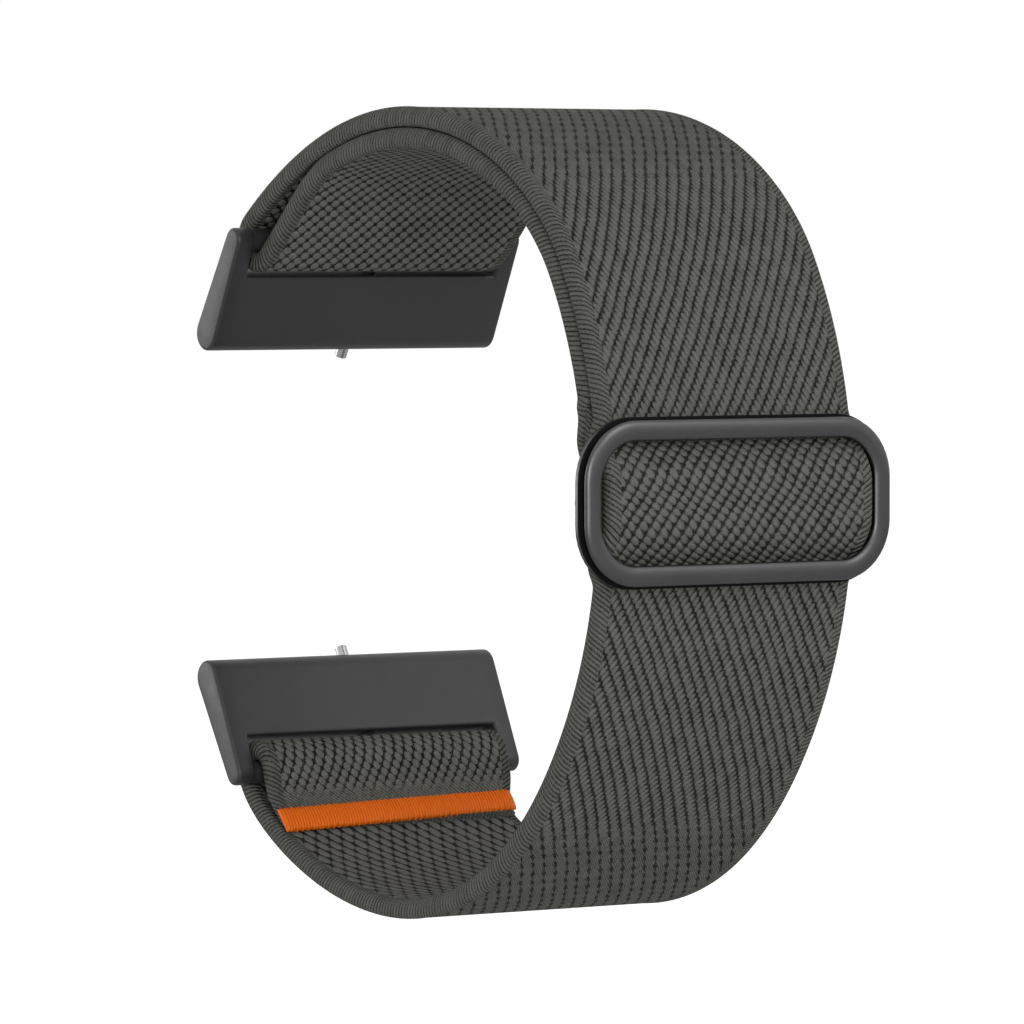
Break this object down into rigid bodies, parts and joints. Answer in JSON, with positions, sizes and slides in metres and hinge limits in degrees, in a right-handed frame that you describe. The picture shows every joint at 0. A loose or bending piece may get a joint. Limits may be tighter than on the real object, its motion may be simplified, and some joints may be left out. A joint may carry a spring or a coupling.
{
  "type": "nylon watch strap",
  "caption": "One-piece woven webbing strap with a sliding tri-bar buckle and swivelling lug adapters for a watch.",
  "frame": {"origin": "middle of the wrist opening, halfway between the bars of the two adapters", "axes": "+X across the webbing, +Y from the buckle to the watch, +Z from the lower adapter to the upper one"},
  "size_m": [0.0326, 0.0623, 0.071],
  "materials": {
    "webbing": "matte woven",
    "orange_thread": "satin thread",
    "grey_thread": "satin thread",
    "adapter_finish": "satin",
    "buckle_finish": "satin",
    "steel": "satin"
  },
  "bodies": {
    "strap": {"webbing_lower_run": "webbing", "webbing_lower_fold": "webbing", "webbing_tail": "webbing", "orange_tack": "orange_thread", "webbing_outer_run": "webbing", "webbing_upper_fold": "webbing", "webbing_inner_run": "webbing"},
    "buckle": {"buckle_bezel": "buckle_finish", "buckle_plate": "buckle_finish", "buckle_pin": "steel", "webbing_bridge": "webbing", "webbing_end": "webbing", "end_tack": "grey_thread"},
    "top_adapter": {"adapter_top": "adapter_finish", "catch_spring_top": "steel", "catch_plug_top": "steel"},
    "top_catch": {"catch_top": "steel"},
    "bottom_adapter": {"adapter_bottom": "adapter_finish", "catch_spring_bottom": "steel", "catch_plug_bottom": "steel"},
    "bottom_catch": {"catch_bottom": "steel"}
  },
  "joints": [
    {"name": "buckle_slide", "type": "hinge", "parent": "strap", "child": "buckle", "pos_m": [0, 0.0135, 0.0019], "axis": [-1, 0, 0], "range_deg": [-8, 8], "deforming": ["webbing_bridge", "webbing_end"]},
    {"name": "top_swivel", "type": "hinge", "parent": "strap", "child": "top_adapter", "pos_m": [0, 0.0265, 0.024], "axis": [1, 0, 0], "range_deg": [-65, 90]},
    {"name": "top_press", "type": "slide", "parent": "top_adapter", "child": "top_catch", "axis": [0, -0.4695, 0.8829], "range_m": [0, 0.0006], "stiffness_N_per_m": 300, "springref_m": -0.0005, "deforming": ["catch_spring_top"]},
    {"name": "bottom_swivel", "type": "hinge", "parent": "strap", "child": "bottom_adapter", "pos_m": [0, 0.0265, -0.024], "axis": [-1, 0, 0], "range_deg": [-65, 90]},
    {"name": "bottom_press", "type": "slide", "parent": "bottom_adapter", "child": "bottom_catch", "axis": [0, -0.4695, -0.8829], "range_m": [0, 0.0006], "stiffness_N_per_m": 300, "springref_m": -0.0005, "deforming": ["catch_spring_bottom"]}
  ]
}
